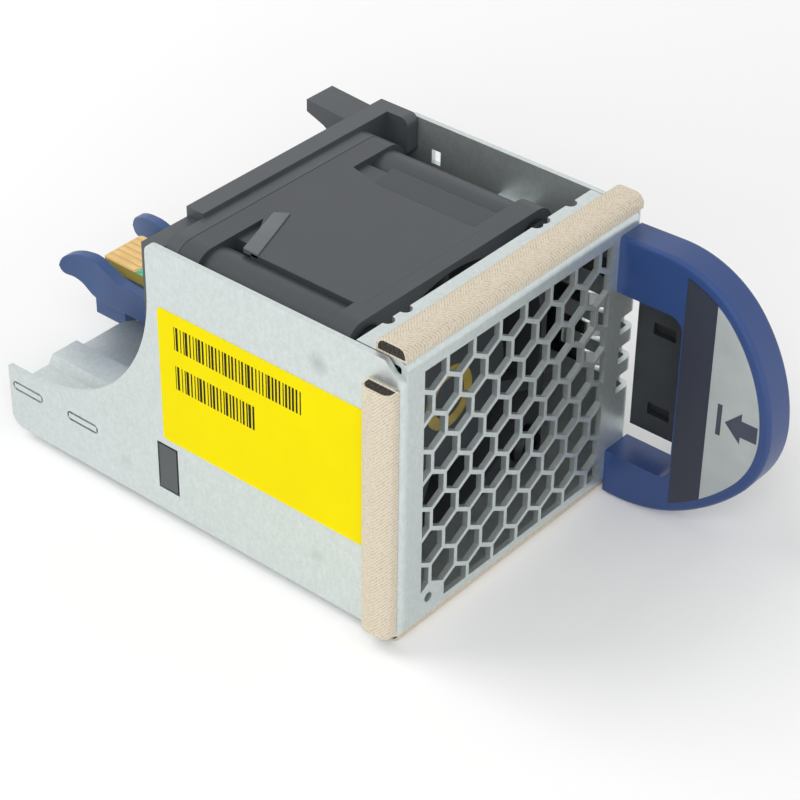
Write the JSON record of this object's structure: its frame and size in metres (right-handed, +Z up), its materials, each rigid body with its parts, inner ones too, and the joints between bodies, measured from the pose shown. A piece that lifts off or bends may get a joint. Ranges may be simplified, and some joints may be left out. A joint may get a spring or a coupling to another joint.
{
  "type": "fan_tray",
  "caption": "Hot-swap fan tray for a network switch: folded steel tray with a honeycomb front, an axial fan, a blind-mate card edge and a blue pull handle with a sprung latch",
  "frame": {"origin": "mid width of the tray, at the front panel's outer face and the floor's underside", "axes": "+X right seen from the front, +Y into the bay, +Z up"},
  "size_m": [0.051, 0.1011, 0.0446],
  "materials": {
    "galvanised_steel": "satin",
    "spring_steel": "satin",
    "gasket_fabric": "matte",
    "gasket_foam": "matte",
    "yellow_label": "matte",
    "fan_plastic": "satin",
    "black_plastic": "satin",
    "blue_plastic": "satin",
    "circuit_board": "satin",
    "gold_plate": "polished",
    "silver_label": "satin",
    "amber_label": "satin",
    "screw_steel": "polished",
    "bearing_steel": "polished",
    "rotor_steel": "satin",
    "ferrite": "matte",
    "brass": "satin",
    "lamination_steel": "matte",
    "copper_wire": "polished",
    "black_component": "matte"
  },
  "bodies": {
    "body": {"tray": "galvanised_steel", "spring_fingers": "spring_steel", "top_gasket": "gasket_fabric", "top_gasket_foam": "gasket_foam", "side_gasket": "gasket_fabric", "side_gasket_foam": "gasket_foam", "bottom_gasket": "gasket_fabric", "bottom_gasket_foam": "gasket_foam", "side_label": "yellow_label", "fan_frame": "fan_plastic", "motor_label": "amber_label", "bearing_tube": "brass", "fan_bearings": "bearing_steel", "stator_core": "lamination_steel", "stator_windings": "copper_wire", "motor_board": "circuit_board", "fan_screws": "screw_steel", "rear_frame": "black_plastic", "connector_guide": "blue_plastic", "connector_board": "circuit_board", "edge_contacts": "gold_plate", "board_components": "black_component", "handle": "blue_plastic", "handle_label": "silver_label", "handle_screws": "screw_steel", "latch_pin": "screw_steel"},
    "rotor": {"impeller": "fan_plastic", "rotor_cup": "rotor_steel", "rotor_magnet": "ferrite", "fan_shaft": "bearing_steel"},
    "release": {"latch": "black_plastic", "latch_spring": "spring_steel"}
  },
  "joints": [
    {"name": "fan_spin", "type": "hinge", "parent": "body", "child": "rotor", "pos_m": [-0.00235, 0.02, 0.0209], "axis": [0, 1, 0], "continuous": true},
    {"name": "latch_squeeze", "type": "hinge", "parent": "body", "child": "release", "pos_m": [0.02085, 0.02, 0.031], "axis": [0, 0, -1], "range_deg": [0, 3], "stiffness_Nm_per_rad": 0.3, "springref_deg": -14.32}
  ]
}
